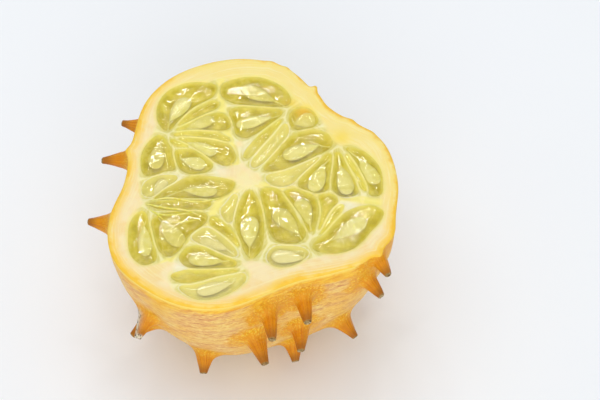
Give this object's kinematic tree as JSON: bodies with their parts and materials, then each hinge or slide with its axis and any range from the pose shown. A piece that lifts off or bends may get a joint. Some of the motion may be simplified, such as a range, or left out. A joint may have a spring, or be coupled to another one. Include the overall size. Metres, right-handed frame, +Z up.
{
  "type": "horned melon half",
  "caption": "Lower half of a ripe horned melon, cut across, with its seedy cut face up; rests on a small flat spot.",
  "frame": {"origin": "centre of the flat spot that the half fruit rests on", "axes": "+Z up, out of the cut face, along the fruit's own axis; +X towards the right-hand lobe, -Y towards the front"},
  "size_m": [0.0779, 0.0842, 0.048],
  "materials": {
    "rind": "waxy golden-orange skin with tan streaks and darker orange-brown horns",
    "flesh": "moist cream wall and pale yellow partitions of the cut face",
    "jelly": "wet, clear olive-green jelly of the seed sacs",
    "seed": "smooth pale cream seed coat seen through the jelly"
  },
  "bodies": {
    "root": {"horned_melon_half": "rind"}
  },
  "joints": []
}
